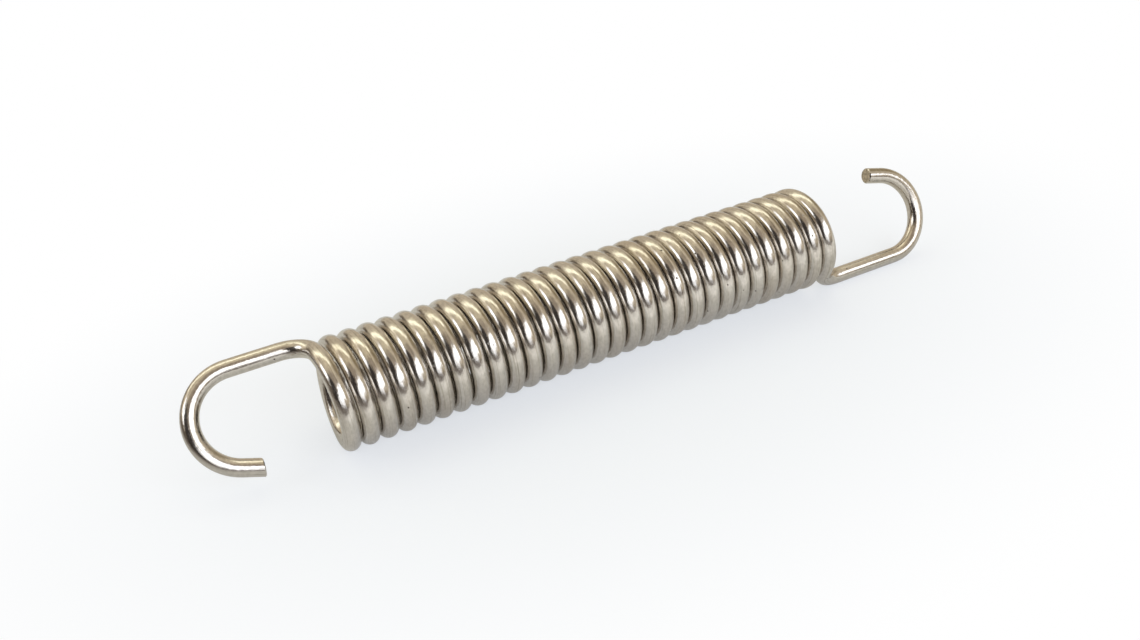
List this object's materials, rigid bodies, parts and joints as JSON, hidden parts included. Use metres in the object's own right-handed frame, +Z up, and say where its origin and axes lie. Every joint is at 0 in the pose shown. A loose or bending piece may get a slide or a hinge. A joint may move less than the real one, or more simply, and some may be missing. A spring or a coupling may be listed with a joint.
{
  "type": "extension spring",
  "caption": "Close-wound round-wire extension spring with a full-size open hook on a straight leg at each end, one leg longer than the other.",
  "frame": {"origin": "on the coil's axis, midway between the outer ends of the two hooks", "axes": "+X along the coil's axis from the short-legged hook to the long-legged hook, +Z up"},
  "size_m": [0.1222, 0.016, 0.016],
  "materials": {
    "spring_wire": "bright drawn stainless wire, smooth and shiny with a fine grain along the wire"
  },
  "bodies": {
    "root": {"extension_spring": "spring_wire"}
  },
  "joints": []
}
